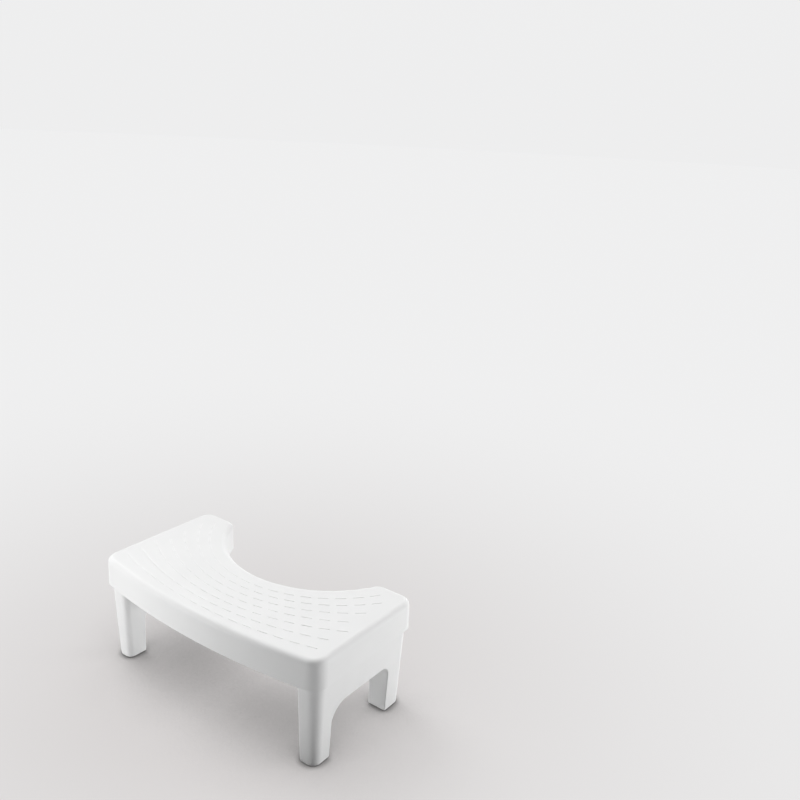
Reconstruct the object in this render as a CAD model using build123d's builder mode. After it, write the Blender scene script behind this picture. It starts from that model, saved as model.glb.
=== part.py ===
from build123d import *
import os
from math import asin, cos, degrees, sin, sqrt, tan, radians

os.makedirs("parts", exist_ok=True)

# Footstool with a rounded cut-out in its rear edge, all lengths in millimetres.
# X runs along its length, Y from the front edge back to the cut-out, Z up.
# The origin lies on the floor, below the middle of the whole stool.

# Whole stool, over the foot of the deck's skirt
length = 405.0
depth = 215.5
height = 160.0

# Deck: a tray moulding, open below, widest at the foot of its skirt
skirt_depth = 41.5
skirt_wall = 2.6
deck_plate = 3.0
deck_draft = 1.0  # degrees
top_edge_radius = 8.0
skirt_foot_chamfer = 0.6
front_sagitta = 19.0  # how far the front edge bows forward of its corners
front_corner_radius = 22.0
rear_corner_radius = 19.0
strip_depth = 123.3  # middle of the deck, from its front edge to the cut-out
lobe_width = 61.0  # beside the cut-out, along the rear edge before its corners are rounded
cutout_tip_radius = 20.0

# Low anti-slip dashes on the deck, in rows that bend more the nearer they lie to the cut-out
dash_length = 14.5
dash_width = 1.5
dash_height = 0.4
dash_pitch = 23.3
dash_row_pitch = 13.7
first_row_setback = 17.8  # from the front edge
last_row_margin = 20.0  # at least this far in front of the cut-out
dash_end_margin = 17.5  # clear of the ends and the rear edge
row_shift_shares = (0.5, 0.5, 0, 0.5, 0, 0.5, 0)  # of the pitch, row by row from the front
row_bend_power = 1.1

# Ribs below the deck
rib_thickness = 1.8
rib_height = 15.0
cross_rib_count = 8
long_rib_shares = (0.34, 0.68)  # of the strip's depth, from the front edge
socket_wall = 2.0
socket_wall_height = 30.0
seat_rib_height = 4.0
seat_rib_count = 5
locator_foot_gap = 6.0  # from the skirt's foot up to the ribs that centre the frames

# Leg frames: a front leg, a rear leg and the arched apron between them, one hollow moulding
frame_inset = 4.5  # from the foot of the skirt's end, and of its rear edge
frame_front_setback = 2.5  # from the line through the deck's front corners
frame_width = 35.0  # along the stool, where it enters the deck
frame_wall = 2.4
leg_floor = 2.8
leg_taper = 5.6  # how far an outer face leans in, from the skirt's foot to the floor
leg_inner_taper = 0.8
leg_corner_radius = 17.0
leg_corner_foot_radius = 12.5
leg_inner_corner_radius = 9.0
front_leg_depth = 29.0
rear_leg_depth = 34.5
arch_height = 75.5
arch_front_radius = 25.5
arch_rear_radius = 15.0
arch_draft = 0.5  # degrees
frame_edge_radius = 1.8  # along the arch and round the foot of each leg
web_thickness = 1.8
web_count = 3
web_top_gap = 12.0  # below the frame's open top
fit_clearance = 0.3

# Foot pads, each pushed into the floor of a leg by its stem
pad_side = 17.0
pad_corner_radius = 4.0
pad_thickness = 2.2
pad_recess = 1.2
stem_radius = 2.5
stem_head_radius = 3.3
stem_head_height = 1.6
stem_clearance = 0.05

overrun = 5.0  # how far a cutter passes the faces that it opens

# Places worked out from the sizes above
half_length = length / 2
front_line = -depth / 2
rear_line = depth / 2
corner_line = front_line + front_sagitta
front_radius = (half_length**2 + front_sagitta**2) / (2 * front_sagitta)
cutout_edge = front_line + strip_depth
cutout_depth = rear_line - cutout_edge
cutout_mouth = half_length - lobe_width  # half the cut-out's width, at the rear edge
cutout_radius = (cutout_mouth**2 + cutout_depth**2) / (2 * cutout_depth)
cutout_centre = cutout_edge + cutout_radius
dash_rows = 1 + int((strip_depth - first_row_setback - last_row_margin) / dash_row_pitch)
deck_top = height - dash_height
skirt_foot = height - skirt_depth
plate_underside = deck_top - deck_plate

frame_outer = half_length - frame_inset
frame_inner = frame_outer - frame_width
frame_front = corner_line + frame_front_setback
frame_rear = rear_line - frame_inset
frame_top = plate_underside - seat_rib_height
frame_middle = (frame_front + frame_rear) / 2
frame_depth = frame_rear - frame_front
leg_foot = pad_thickness - pad_recess
leg_floor_top = leg_foot + leg_floor
arch_front = frame_front + leg_taper + front_leg_depth
arch_rear = frame_rear - leg_taper - rear_leg_depth
socket_middle = frame_inner - fit_clearance - socket_wall / 2
pad_x = (frame_outer - leg_taper + frame_inner + leg_inner_taper) / 2
front_pad_y = arch_front - front_leg_depth / 2
rear_pad_y = arch_rear + rear_leg_depth / 2


def deck_outline(level, inset):
    """The deck's plan at the skirt's foot, drawn in by an inset, on a level plane."""
    end = half_length - inset
    rear = rear_line - inset
    bow = front_radius - inset
    corner = front_line + front_radius - sqrt(bow**2 - end**2)
    mouth = sqrt((cutout_radius + inset) ** 2 - (cutout_centre - rear) ** 2)
    with BuildSketch(Plane.XY.offset(level)) as plan:
        with BuildLine():
            ThreePointArc((-end, corner), (0, front_line + inset), (end, corner))
            Line((end, corner), (end, rear))
            Line((end, rear), (mouth, rear))
            ThreePointArc((mouth, rear), (0, cutout_edge - inset), (-mouth, rear))
            Line((-mouth, rear), (-end, rear))
            Line((-end, rear), (-end, corner))
        make_face()
        fillet(plan.vertices().group_by(Axis.Y)[0], front_corner_radius - inset)
        rear_vertices = plan.vertices().group_by(Axis.Y)[-1].sort_by(Axis.X)
        fillet(rear_vertices[1:-1], cutout_tip_radius - inset)
        rear_vertices = plan.vertices().group_by(Axis.Y)[-1].sort_by(Axis.X)
        fillet([rear_vertices[0], rear_vertices[-1]], rear_corner_radius - inset)
    return plan.sketch


def deck_block(inset, top):
    """The deck as a solid up to a level, drawn in by an inset, its top edge rounded to match."""
    with BuildPart() as block:
        extrude(deck_outline(skirt_foot, inset), amount=top - skirt_foot, taper=deck_draft)
        fillet(block.faces().sort_by(Axis.Z)[-1].edges(), top_edge_radius - inset)
    return block.part


def row_arc(setback):
    """Radius and centre of the arc that lies a setback behind the middle of the front edge."""
    share = setback / strip_depth
    bend = 1 / front_radius + (1 / cutout_radius - 1 / front_radius) * share**row_bend_power
    return 1 / bend, front_line + setback + 1 / bend


def dash_places(row):
    """Where the dashes of one row go, each turned along its row."""
    radius, centre = row_arc(first_row_setback + row * dash_row_pitch)
    reach = half_length - dash_end_margin
    shift_share = row_shift_shares[row % len(row_shift_shares)]
    most = int(radius * asin(min(1, reach / radius)) / dash_pitch)
    places = []
    for step in range(-most - 1, most + 1):
        along = (step + shift_share) * dash_pitch
        far_turn = (abs(along) + dash_length / 2) / radius
        if radius * sin(far_turn) > reach or centre - radius * cos(far_turn) > rear_line - dash_end_margin:
            continue
        turn = along / radius
        places.append(Location((radius * sin(turn), centre - radius * cos(turn)), degrees(turn)))
    return places


def bent_rib(setback):
    """A rib that follows the arc at a setback from the front edge."""
    radius, centre = row_arc(setback)
    with BuildSketch() as ring:
        with Locations((0, centre)):
            Circle(radius + rib_thickness / 2)
            Circle(radius - rib_thickness / 2, mode=Mode.SUBTRACT)
    return ring.sketch


def frame_plan(level, inset):
    """A leg frame's plan at a level: its faces lean in from the skirt's foot down to the floor."""
    lean_share = max(0, (skirt_foot - level) / (skirt_foot - leg_foot))
    lean = leg_taper * lean_share
    outer = frame_outer - lean - inset
    inner = frame_inner + leg_inner_taper * lean_share + inset
    corner = leg_corner_radius + (leg_corner_foot_radius - leg_corner_radius) * lean_share
    with BuildSketch(Plane.XY.offset(level)) as plan:
        with Locations(((inner + outer) / 2, frame_middle)):
            Rectangle(outer - inner, frame_depth - 2 * (lean + inset))
        fillet(plan.vertices().group_by(Axis.X)[-1], corner - inset)
        fillet(plan.vertices().group_by(Axis.X)[0], leg_inner_corner_radius - inset)
    return plan.sketch


def frame_block(inset, base):
    """A leg frame as one tapered block from a base level to its top, drawn in by an inset."""
    with BuildPart() as block:
        loft([frame_plan(base, inset), frame_plan(skirt_foot, inset)], ruled=True)
        extrude(frame_plan(skirt_foot, inset), amount=frame_top - skirt_foot)
    return block.part


def arch_opening(grow):
    """The arch between the legs as a solid along the whole stool, grown on every side."""
    low = -overrun
    slope = tan(radians(arch_draft))
    top = arch_height + grow
    with BuildPart() as opening:
        with BuildSketch(Plane.YZ) as profile:
            with BuildLine():
                Polyline(
                    (arch_front - grow, low),
                    (arch_rear + grow, low),
                    (arch_rear + grow - slope * top, top),
                    (arch_front - grow + slope * top, top),
                    close=True,
                )
            make_face()
            crown = profile.vertices().group_by(Axis.Y)[-1].sort_by(Axis.X)
            fillet(crown[0], arch_front_radius + grow)
            crown = profile.vertices().group_by(Axis.Y)[-1].sort_by(Axis.X)
            fillet(crown[-1], arch_rear_radius + grow)
        extrude(amount=half_length, both=True)
    return opening.part


# Ribs below the deck's plate, trimmed where they run into the plate and the skirt
with BuildPart() as deck_ribs:
    # Cross ribs and two long ribs that bend with the deck, between the sockets
    with BuildSketch(Plane.XY.offset(plate_underside - rib_height)):
        with GridLocations(2 * socket_middle / (cross_rib_count + 1), 0, cross_rib_count, 1):
            Rectangle(rib_thickness, depth)
        for share in long_rib_shares:
            add(bent_rib(share * strip_depth))
        Rectangle(2 * socket_middle, depth, mode=Mode.INTERSECT)
    extrude(amount=rib_height + deck_plate / 2)
    # The inner wall of each socket
    with BuildSketch(Plane.XY.offset(plate_underside - socket_wall_height)):
        with Locations((-socket_middle, 0), (socket_middle, 0)):
            Rectangle(socket_wall, depth)
    extrude(amount=socket_wall_height + deck_plate / 2)
    # Seats across each socket, which the frame's open top bears on
    seat_length = half_length - socket_middle
    with BuildSketch(Plane.XY.offset(frame_top)):
        with GridLocations(2 * socket_middle + seat_length, 0, 2, 1):
            with GridLocations(0, frame_depth / seat_rib_count, 1, seat_rib_count):
                with Locations((0, frame_middle)):
                    Rectangle(seat_length, rib_thickness)
    extrude(amount=seat_rib_height + deck_plate / 2)
    # Short ribs inside the skirt, which centre the frame in its socket
    with BuildSketch(Plane.XY.offset(skirt_foot + locator_foot_gap)):
        with GridLocations(0, frame_depth / seat_rib_count, 1, seat_rib_count):
            with Locations((0, frame_middle)):
                Rectangle(length, rib_thickness)
        with Locations((-pad_x, 0), (pad_x, 0)):
            Rectangle(rib_thickness, depth)
        with Locations((0, frame_middle)):
            clear_depth = frame_depth + 2 * fit_clearance
            Rectangle(2 * (frame_outer + fit_clearance), clear_depth, mode=Mode.SUBTRACT)
    extrude(amount=plate_underside - skirt_foot - locator_foot_gap)
    add(deck_block(skirt_wall / 2, plate_underside + deck_plate / 2), mode=Mode.INTERSECT)

# Deck
with BuildPart() as deck:
    add(deck_block(0, deck_top))
    chamfer(deck.faces().sort_by(Axis.Z)[0].edges(), skirt_foot_chamfer)
    add(deck_block(skirt_wall, plate_underside), mode=Mode.SUBTRACT)
    add(deck_ribs.part)
    with BuildSketch(Plane.XY.offset(deck_top - dash_height)):
        for row in range(dash_rows):
            with Locations(*dash_places(row)):
                Rectangle(dash_length, dash_width)
    extrude(amount=2 * dash_height)
deck.part.label = "deck"
export_step(deck.part, "parts/deck.step")

# The hollow of the right leg frame, crossed by webs over the arch
with BuildPart() as frame_hollow:
    add(frame_block(frame_wall, leg_floor_top))
    add(arch_opening(frame_wall), mode=Mode.SUBTRACT)
    with BuildSketch(Plane.XY.offset(arch_height)):
        with Locations((pad_x, (arch_front + arch_rear) / 2)):
            with GridLocations(0, (arch_rear - arch_front) / (web_count + 1), 1, web_count):
                Rectangle(2 * frame_width, web_thickness)
    extrude(amount=frame_top - web_top_gap - arch_height, mode=Mode.SUBTRACT)

# Right leg frame
with BuildPart() as leg_frame_right:
    add(frame_block(0, leg_foot))
    add(arch_opening(0), mode=Mode.SUBTRACT)
    arch_edges = leg_frame_right.edges(Select.LAST).filter_by(Axis.X, reverse=True)
    arch_edges = arch_edges.filter_by(lambda edge: edge.center().Z > leg_floor_top)
    foot_edges = leg_frame_right.faces().group_by(Axis.Z)[0].edges()
    fillet(arch_edges + foot_edges, frame_edge_radius)
    add(frame_hollow.part, mode=Mode.SUBTRACT)
    # Recess and stem hole of each foot pad
    with BuildSketch(Plane.XY.offset(leg_foot)):
        with Locations((pad_x, front_pad_y), (pad_x, rear_pad_y)):
            RectangleRounded(pad_side + fit_clearance, pad_side + fit_clearance, pad_corner_radius)
    extrude(amount=pad_recess, mode=Mode.SUBTRACT)
    with BuildSketch(Plane.XY.offset(leg_foot)):
        with Locations((pad_x, front_pad_y), (pad_x, rear_pad_y)):
            Circle(stem_radius + stem_clearance)
    extrude(amount=leg_floor, mode=Mode.SUBTRACT)
leg_frame_right.part.label = "leg_frame_right"
export_step(leg_frame_right.part, "parts/leg_frame_right.step")

# Left leg frame, the mirror of the right one
with BuildPart() as leg_frame_left:
    mirror(leg_frame_right.part, about=Plane.YZ)
leg_frame_left.part.label = "leg_frame_left"
export_step(leg_frame_left.part, "parts/leg_frame_left.step")

# Foot pads: a soft plate under each leg, with a stem whose head holds above the leg's floor
pad_places = {
    "foot_pad_front_left": (-pad_x, front_pad_y),
    "foot_pad_front_right": (pad_x, front_pad_y),
    "foot_pad_rear_left": (-pad_x, rear_pad_y),
    "foot_pad_rear_right": (pad_x, rear_pad_y),
}
for name, place in pad_places.items():
    with BuildPart() as foot_pad:
        with BuildSketch():
            with Locations(place):
                RectangleRounded(pad_side, pad_side, pad_corner_radius)
        extrude(amount=pad_thickness)
        with BuildSketch():
            with Locations(place):
                Circle(stem_radius)
        extrude(amount=leg_floor_top + stem_head_height)
        with BuildSketch(Plane.XY.offset(leg_floor_top)):
            with Locations(place):
                Circle(stem_head_radius)
        extrude(amount=stem_head_height)
        chamfer(foot_pad.faces().sort_by(Axis.Z)[-1].edges(), stem_head_height / 2)
    foot_pad.part.label = name
    export_step(foot_pad.part, f"parts/{name}.step")
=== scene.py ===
import math

import bmesh
import bpy
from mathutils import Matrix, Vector

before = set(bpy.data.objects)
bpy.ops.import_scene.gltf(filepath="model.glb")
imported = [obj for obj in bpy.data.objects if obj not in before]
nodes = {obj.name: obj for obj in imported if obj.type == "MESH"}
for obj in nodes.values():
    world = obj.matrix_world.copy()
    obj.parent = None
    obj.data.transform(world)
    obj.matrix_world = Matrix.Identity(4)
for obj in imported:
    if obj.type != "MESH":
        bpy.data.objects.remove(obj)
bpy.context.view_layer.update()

# Looks of the footstool, in metres, in the frame of its solids: X along its length, Z up, the floor at zero.
scene = bpy.context.scene


def newGroup(name, inputs, outputs):
    group = bpy.data.node_groups.new(name, "ShaderNodeTree")
    for label, kind, value in inputs:
        socket = group.interface.new_socket(label, in_out="INPUT", socket_type=kind)
        socket.default_value = value
    for label, kind in outputs:
        group.interface.new_socket(label, in_out="OUTPUT", socket_type=kind)
    return group, group.nodes.new("NodeGroupInput"), group.nodes.new("NodeGroupOutput")


def addNode(tree, kind, values=None, **settings):
    node = tree.nodes.new(kind)
    for name, value in settings.items():
        setattr(node, name, value)
    for socket, value in (values or {}).items():
        node.inputs[socket].default_value = value
    return node


def addGroup(tree, group, values=None):
    node = tree.nodes.new("ShaderNodeGroup")
    node.node_tree = group
    for socket, value in (values or {}).items():
        node.inputs[socket].default_value = value
    return node


def colourMix(tree, low, high, factor):
    mix = addNode(tree, "ShaderNodeMix", data_type="RGBA")
    for name, colour in (("A", low), ("B", high)):
        if hasattr(colour, "is_output"):
            tree.links.new(colour, mix.inputs[name])
        else:
            mix.inputs[name].default_value = colour
    tree.links.new(factor, mix.inputs["Factor"])
    return mix.outputs["Result"]


# Fine grain of the mould, as a bumped normal
grainNoise = {"Detail": 4.0, "Roughness": 0.6}


def makeGrainGroup():
    inputs = [
        ("Cells per metre", "NodeSocketFloat", 1500.0),
        ("Depth", "NodeSocketFloat", 0.00002),
        ("Strength", "NodeSocketFloat", 0.3),
    ]
    group, into, out = newGroup("mouldGrain", inputs, [("Normal", "NodeSocketVector")])
    place = addNode(group, "ShaderNodeTexCoord")
    noise = addNode(group, "ShaderNodeTexNoise", grainNoise)
    bump = addNode(group, "ShaderNodeBump")
    link = group.links.new
    link(place.outputs["Object"], noise.inputs["Vector"])
    link(into.outputs["Cells per metre"], noise.inputs["Scale"])
    link(noise.outputs["Fac"], bump.inputs["Height"])
    link(into.outputs["Depth"], bump.inputs["Distance"])
    link(into.outputs["Strength"], bump.inputs["Strength"])
    link(bump.outputs["Normal"], out.inputs["Normal"])
    return group


# Slow drift between two values, in soft clouds
driftNoise = {"Detail": 2.0, "Roughness": 0.5}
driftReach = {"From Min": 0.3, "From Max": 0.7}  # the part of the noise that is stretched to the whole range


def makeDriftGroup():
    inputs = [
        ("Low", "NodeSocketFloat", 0.0),
        ("High", "NodeSocketFloat", 1.0),
        ("Clouds per metre", "NodeSocketFloat", 18.0),
    ]
    group, into, out = newGroup("cloudDrift", inputs, [("Value", "NodeSocketFloat")])
    place = addNode(group, "ShaderNodeTexCoord")
    noise = addNode(group, "ShaderNodeTexNoise", driftNoise)
    reach = addNode(group, "ShaderNodeMapRange", driftReach)
    link = group.links.new
    link(place.outputs["Object"], noise.inputs["Vector"])
    link(into.outputs["Clouds per metre"], noise.inputs["Scale"])
    link(noise.outputs["Fac"], reach.inputs["Value"])
    link(into.outputs["Low"], reach.inputs["To Min"])
    link(into.outputs["High"], reach.inputs["To Max"])
    link(reach.outputs["Result"], out.inputs["Value"])
    return group


# Painted shading: scales a colour where other surfaces stand close, darker as painted shade for a tone below
# one and lighter as painted light above one, full where the openness is low, none where it is high
nearSamples = 6  # rays of an openness node, here and on the floor


def makePaintedShadingGroup():
    inputs = [
        ("Reach", "NodeSocketFloat", 0.003),
        ("Tone", "NodeSocketFloat", 0.7),
        ("Full at", "NodeSocketFloat", 0.5),
        ("None at", "NodeSocketFloat", 0.98),
        ("Color", "NodeSocketColor", (0.9, 0.9, 0.9, 1.0)),
    ]
    group, into, out = newGroup("paintedCreviceShading", inputs, [("Color", "NodeSocketColor")])
    near = addNode(group, "ShaderNodeAmbientOcclusion", samples=nearSamples)
    depth = addNode(group, "ShaderNodeMapRange")
    shaded = addNode(group, "ShaderNodeVectorMath", operation="SCALE")
    link = group.links.new
    link(into.outputs["Reach"], near.inputs["Distance"])
    link(near.outputs["AO"], depth.inputs["Value"])
    link(into.outputs["Full at"], depth.inputs["From Min"])
    link(into.outputs["None at"], depth.inputs["From Max"])
    link(into.outputs["Tone"], depth.inputs["To Min"])
    link(into.outputs["Color"], shaded.inputs["Vector"])
    link(depth.outputs["Result"], shaded.inputs["Scale"])
    link(shaded.outputs["Vector"], out.inputs["Color"])
    return group


# One on faces that look straight up, and zero on those tilted past a limit
def makeFacingGroup():
    inputs = [("Up from", "NodeSocketFloat", 0.9)]
    group, into, out = newGroup("facingUp", inputs, [("Mask", "NodeSocketFloat")])
    geometry = addNode(group, "ShaderNodeNewGeometry")
    parts = addNode(group, "ShaderNodeSeparateXYZ")
    reach = addNode(group, "ShaderNodeMapRange")
    link = group.links.new
    link(geometry.outputs["Normal"], parts.inputs["Vector"])
    link(parts.outputs["Z"], reach.inputs["Value"])
    link(into.outputs["Up from"], reach.inputs["From Min"])
    link(reach.outputs["Result"], out.inputs["Mask"])
    return group


grainGroup = makeGrainGroup()
driftGroup = makeDriftGroup()
paintedShadingGroup = makePaintedShadingGroup()
facingGroup = makeFacingGroup()


def plasticMaterial(name, look):
    material = bpy.data.materials.new(name)
    material.use_nodes = True
    tree = material.node_tree
    tree.nodes.clear()
    link = tree.links.new
    shader = addNode(tree, "ShaderNodeBsdfPrincipled", {
        "IOR": look["ior"],
        "Subsurface Weight": look["translucence"],
        "Subsurface Radius": look["translucentColour"],
        "Subsurface Scale": look["translucentDepth"],
    })
    output = addNode(tree, "ShaderNodeOutputMaterial")
    link(shader.outputs["BSDF"], output.inputs["Surface"])
    tone = addGroup(tree, driftGroup, {"Clouds per metre": look["clouds"]})
    # painted shade, or painted light for a tone above one, where other surfaces stand close
    paintedShading = addGroup(tree, paintedShadingGroup, {
        "Reach": look["paintedShadingReach"],
        "Tone": look["paintedShadingTone"],
        "Full at": look["paintedShadingFull"],
    })
    plain = colourMix(tree, look["colourLow"], look["colourHigh"], tone.outputs["Value"])
    link(plain, paintedShading.inputs["Color"])
    link(paintedShading.outputs["Color"], shader.inputs["Base Color"])
    facing = addGroup(tree, facingGroup)
    gloss = addNode(tree, "ShaderNodeMix", data_type="FLOAT")
    for socket, roughness in (("A", look["sideRoughness"]), ("B", look["topRoughness"])):
        drift = addGroup(tree, driftGroup, {"Low": roughness[0], "High": roughness[1]})
        link(drift.outputs["Value"], gloss.inputs[socket])
    link(facing.outputs["Mask"], gloss.inputs["Factor"])
    link(gloss.outputs["Result"], shader.inputs["Roughness"])
    grain = addGroup(tree, grainGroup, {
        "Cells per metre": look["grainCells"],
        "Depth": look["grainDepth"],
        "Strength": look["grainStrength"],
    })
    link(grain.outputs["Normal"], shader.inputs["Normal"])
    return material


def dress(node, material):
    piece = nodes[node]
    if not piece.data.materials:
        piece.data.materials.append(material)
    for slot in piece.material_slots:
        slot.material = material


# Deck: satin white polypropylene
deckLook = {
    "colourLow": (0.885, 0.888, 0.886, 1.0),
    "colourHigh": (0.905, 0.907, 0.905, 1.0),
    "clouds": 14.0,
    "sideRoughness": (0.50, 0.56),
    "topRoughness": (0.55, 0.62),
    "ior": 1.49,
    "translucence": 0.06,
    "translucentColour": (1.0, 1.0, 1.0),
    "translucentDepth": 0.002,
    "grainCells": 1600.0,
    "grainDepth": 0.00002,
    "grainStrength": 0.35,
    "paintedShadingReach": 0.0015,
    "paintedShadingTone": 1.1,  # painted light: lifts the colour beside the dashes to cancel their shading, as they are drawn crisper than they are
    "paintedShadingFull": 0.82,
}
dress("deck", plasticMaterial("deckPlastic", deckLook))

# Leg frames: the same plastic, with painted shade in the seam below the skirt
legLook = dict(
    deckLook,
    clouds=20.0,
    sideRoughness=(0.48, 0.56),
    topRoughness=(0.50, 0.56),
    paintedShadingReach=0.0025,
    # painted shade in the seam below the skirt
    paintedShadingTone=0.3,
    paintedShadingFull=0.6,
)
legPlastic = plasticMaterial("legPlastic", legLook)
dress("leg_frame_left", legPlastic)
dress("leg_frame_right", legPlastic)

# Foot pads: soft grey rubber
padLook = {
    "colourLow": (0.34, 0.34, 0.345, 1.0),
    "colourHigh": (0.39, 0.39, 0.395, 1.0),
    "clouds": 90.0,
    "sideRoughness": (0.62, 0.74),
    "topRoughness": (0.62, 0.74),
    "ior": 1.5,
    "translucence": 0.0,
    "translucentColour": (1.0, 1.0, 1.0),
    "translucentDepth": 0.001,
    "grainCells": 2600.0,
    "grainDepth": 0.00004,
    "grainStrength": 0.6,
    "paintedShadingReach": 0.002,
    # painted shade where the pads meet other surfaces
    "paintedShadingTone": 0.8,
    "paintedShadingFull": 0.5,
}
padRubber = plasticMaterial("padRubber", padLook)
for name in nodes:
    if name.startswith("foot_pad"):
        dress(name, padRubber)
print("materials done")


# One for a ray that shows a surface to the camera, straight or in gloss, and zero for a ray that gathers light
def seenDirectly(tree):
    path = addNode(tree, "ShaderNodeLightPath")
    first = addNode(tree, "ShaderNodeMath", operation="MAXIMUM")
    both = addNode(tree, "ShaderNodeMath", operation="MAXIMUM")
    link = tree.links.new
    link(path.outputs["Is Camera Ray"], first.inputs[0])
    link(path.outputs["Is Glossy Ray"], first.inputs[1])
    link(first.outputs["Value"], both.inputs[0])
    link(path.outputs["Is Transmission Ray"], both.inputs[1])
    return both.outputs["Value"]


# Floor: it takes the lamps' shadows and glows where it is seen, with a painted shadow where the stool stands
# over it and round each foot, and a painted shade beside the stool
floorSettings = {
    "radius": 25.0,
    "segments": 96,
    "paint": (0.10, 0.10, 0.10, 1.0),  # how it is lit where it is seen
    "bounce": (0.70, 0.70, 0.70, 1.0),  # how it lights the stool from below
    "glowNear": (0.605, 0.583, 0.579, 1.0),  # beside the stool, darker and warmer as painted shade
    "glowFar": (0.777, 0.777, 0.780, 1.0),
    "nearReach": 0.2,  # distances from the stool's middle at which the glow's painted shade starts and ends its change
    "farReach": 2.0,
    "fadePower": 3.5,
    "shadeReach": 0.2,  # how far from the stool its painted soft shadow goes
    "shadeClosed": 0.35,  # openness of the floor at which the shade is deepest
    "shadeOpen": 0.8,  # and from which there is none
    "shadeDeep": 0.3,
    "contactReach": 0.008,  # how wide the painted contact shadow round a foot is
    "contactClosed": 0.4,
    "contactDeep": 0.42,
}


# Painted shade on the floor, deeper where the floor is less open
def opennessShade(tree, reach, closed, fullyOpen, deep):
    near = addNode(tree, "ShaderNodeAmbientOcclusion", {"Distance": reach}, samples=nearSamples)
    depth = addNode(tree, "ShaderNodeMapRange", {
        "From Min": closed,
        "From Max": fullyOpen,
        "To Min": deep,
    })
    tree.links.new(near.outputs["AO"], depth.inputs["Value"])
    return depth.outputs["Result"]


def multiply(tree, first, second):
    node = addNode(tree, "ShaderNodeMath", operation="MULTIPLY")
    tree.links.new(first, node.inputs[0])
    tree.links.new(second, node.inputs[1])
    return node.outputs["Value"]


def floorGlow(tree, look):
    place = addNode(tree, "ShaderNodeTexCoord")
    away = addNode(tree, "ShaderNodeVectorMath", operation="LENGTH")
    nearness = addNode(tree, "ShaderNodeMapRange", {
        "From Min": look["nearReach"],
        "From Max": look["farReach"],
        "To Min": 1.0,
        "To Max": 0.0,
    })
    fade = addNode(tree, "ShaderNodeMath", {1: look["fadePower"]}, operation="POWER")
    tree.links.new(place.outputs["Object"], away.inputs[0])
    tree.links.new(away.outputs["Value"], nearness.inputs["Value"])
    tree.links.new(nearness.outputs["Result"], fade.inputs[0])
    return colourMix(tree, look["glowFar"], look["glowNear"], fade.outputs["Value"])


def floorMaterial(look):
    material = bpy.data.materials.new("floorPaint")
    material.use_nodes = True
    tree = material.node_tree
    tree.nodes.clear()
    link = tree.links.new
    seen = seenDirectly(tree)
    paint = addNode(tree, "ShaderNodeBsdfDiffuse")
    glow = addNode(tree, "ShaderNodeEmission")
    both = addNode(tree, "ShaderNodeAddShader")
    output = addNode(tree, "ShaderNodeOutputMaterial")
    link(colourMix(tree, look["bounce"], look["paint"], seen), paint.inputs["Color"])
    # painted shadow under the stool and round each foot, in the glow's strength
    soft = opennessShade(tree, look["shadeReach"], look["shadeClosed"], look["shadeOpen"], look["shadeDeep"])
    contact = opennessShade(tree, look["contactReach"], look["contactClosed"], 1.0, look["contactDeep"])
    link(floorGlow(tree, look), glow.inputs["Color"])
    link(multiply(tree, multiply(tree, soft, contact), seen), glow.inputs["Strength"])
    link(paint.outputs["BSDF"], both.inputs[0])
    link(glow.outputs["Emission"], both.inputs[1])
    link(both.outputs["Shader"], output.inputs["Surface"])
    return material


def makeFloor(look):
    mesh = bpy.data.meshes.new("floor")
    shape = bmesh.new()
    bmesh.ops.create_circle(shape, cap_ends=True, segments=look["segments"], radius=look["radius"])
    shape.to_mesh(mesh)
    shape.free()
    mesh.materials.append(floorMaterial(look))
    floor = bpy.data.objects.new("floor", mesh)
    scene.collection.objects.link(floor)


# World: a pale wall where it is seen, which gives no light
wallSettings = {
    "low": (0.855, 0.855, 0.858, 1.0),  # at the horizon
    "high": (0.87, 0.87, 0.873, 1.0),
    "top": 0.35,  # height of a view direction at which the wall is at its palest
    "light": (0.0, 0.0, 0.0, 1.0),
}


def makeWorld(look):
    world = bpy.data.worlds.new("studio")
    world.use_nodes = True
    tree = world.node_tree
    tree.nodes.clear()
    place = addNode(tree, "ShaderNodeTexCoord")
    parts = addNode(tree, "ShaderNodeSeparateXYZ")
    height = addNode(tree, "ShaderNodeMapRange", {"From Max": look["top"]}, interpolation_type="SMOOTHSTEP")
    light = addNode(tree, "ShaderNodeBackground")
    output = addNode(tree, "ShaderNodeOutputWorld")
    link = tree.links.new
    link(place.outputs["Generated"], parts.inputs["Vector"])
    link(parts.outputs["Z"], height.inputs["Value"])
    wall = colourMix(tree, look["low"], look["high"], height.outputs["Result"])
    link(colourMix(tree, look["light"], wall, seenDirectly(tree)), light.inputs["Color"])
    link(light.outputs["Background"], output.inputs["Surface"])
    scene.world = world


# Soft lamps far away: azimuth from the front and elevation above the floor, in degrees
farLamps = {
    "windowLeft": {
        "azimuth": -105.0,
        "elevation": 45.0,
        "strength": 2.26,
        "spread": 30.0,
        "inGloss": True,
    },
    "windowRight": {
        "azimuth": 135.0,
        "elevation": 6.0,
        "strength": 2.12,
        "spread": 30.0,
        "inGloss": False,  # so low that its gloss would blow out the top
    },
    "skylight": {
        "azimuth": 0.0,
        "elevation": 88.0,
        "strength": 0.92,
        "spread": 70.0,
        "inGloss": True,
    },
}
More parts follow.
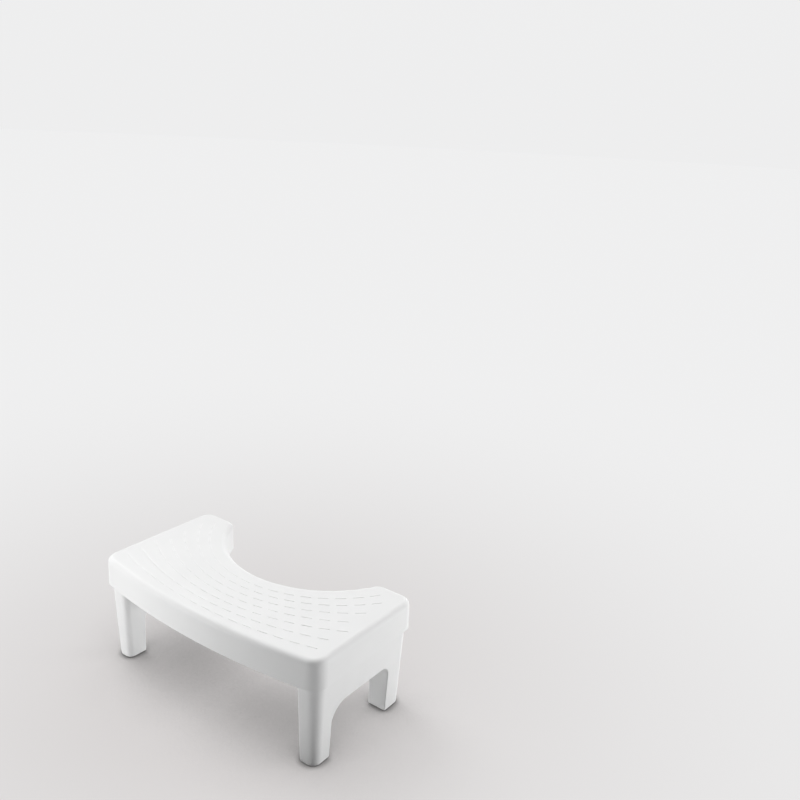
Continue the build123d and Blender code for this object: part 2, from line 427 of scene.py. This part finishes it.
# Soft round lamps that light the stool only: azimuth, distance from its middle, and height
nearLamps = {
    "panelLeft": {
        "azimuth": -29.0,
        "reach": 0.5,
        "height": 0.11,
        "size": 0.3,
        "power": 0.96,
        "inGloss": True,
    },
    "panelRight": {
        "azimuth": 125.0,
        "reach": 0.7,
        "height": 0.15,
        "size": 0.3,
        "power": 0.6,
        "inGloss": True,
    },
}
lampAim = Vector((0.0, 0.0, 0.09))
litPieces = bpy.data.collections.new("litPieces")
for piece in nodes.values():
    litPieces.objects.link(piece)


def placeLamp(name, kind, look):
    lamp = bpy.data.lights.new(name, kind)
    holder = bpy.data.objects.new(name, lamp)
    holder.visible_glossy = look["inGloss"]
    scene.collection.objects.link(holder)
    return lamp, holder


def makeFarLamp(name, look):
    lamp, holder = placeLamp(name, "SUN", look)
    lamp.energy = look["strength"]
    lamp.angle = math.radians(look["spread"])
    tilt = 90 - look["elevation"]  # a sun with no turn shines straight down
    holder.rotation_euler = (math.radians(tilt), 0.0, math.radians(look["azimuth"]))


def makeNearLamp(name, look):
    lamp, holder = placeLamp(name, "AREA", look)
    lamp.shape = "DISK"
    lamp.size = look["size"]
    lamp.energy = look["power"]
    azimuth = math.radians(look["azimuth"])
    across = look["reach"] * math.sin(azimuth)
    forward = look["reach"] * math.cos(azimuth)
    place = Vector((across, -forward, look["height"]))
    holder.location = place
    holder.rotation_euler = (lampAim - place).to_track_quat("-Z", "Y").to_euler()
    holder.visible_camera = False
    holder.light_linking.receiver_collection = litPieces


# Camera of the photograph
cameraView = {
    "place": (0.76892, -0.75098, 0.76918),
    "turns": (72.08, -2.791, 36.232),  # degrees about X, Y and Z
    "lens": 39.179,
    "sensor": 36.0,
}


def makeCamera(look):
    lens = bpy.data.cameras.new("camera")
    lens.lens = look["lens"]
    lens.sensor_width = look["sensor"]
    camera = bpy.data.objects.new("camera", lens)
    camera.location = look["place"]
    camera.rotation_euler = [math.radians(turn) for turn in look["turns"]]
    scene.collection.objects.link(camera)
    scene.camera = camera


makeFloor(floorSettings)
makeWorld(wallSettings)
for name, look in farLamps.items():
    makeFarLamp(name, look)
for name, look in nearLamps.items():
    makeNearLamp(name, look)
makeCamera(cameraView)
scene.view_settings.view_transform = "Standard"
print("stage done")
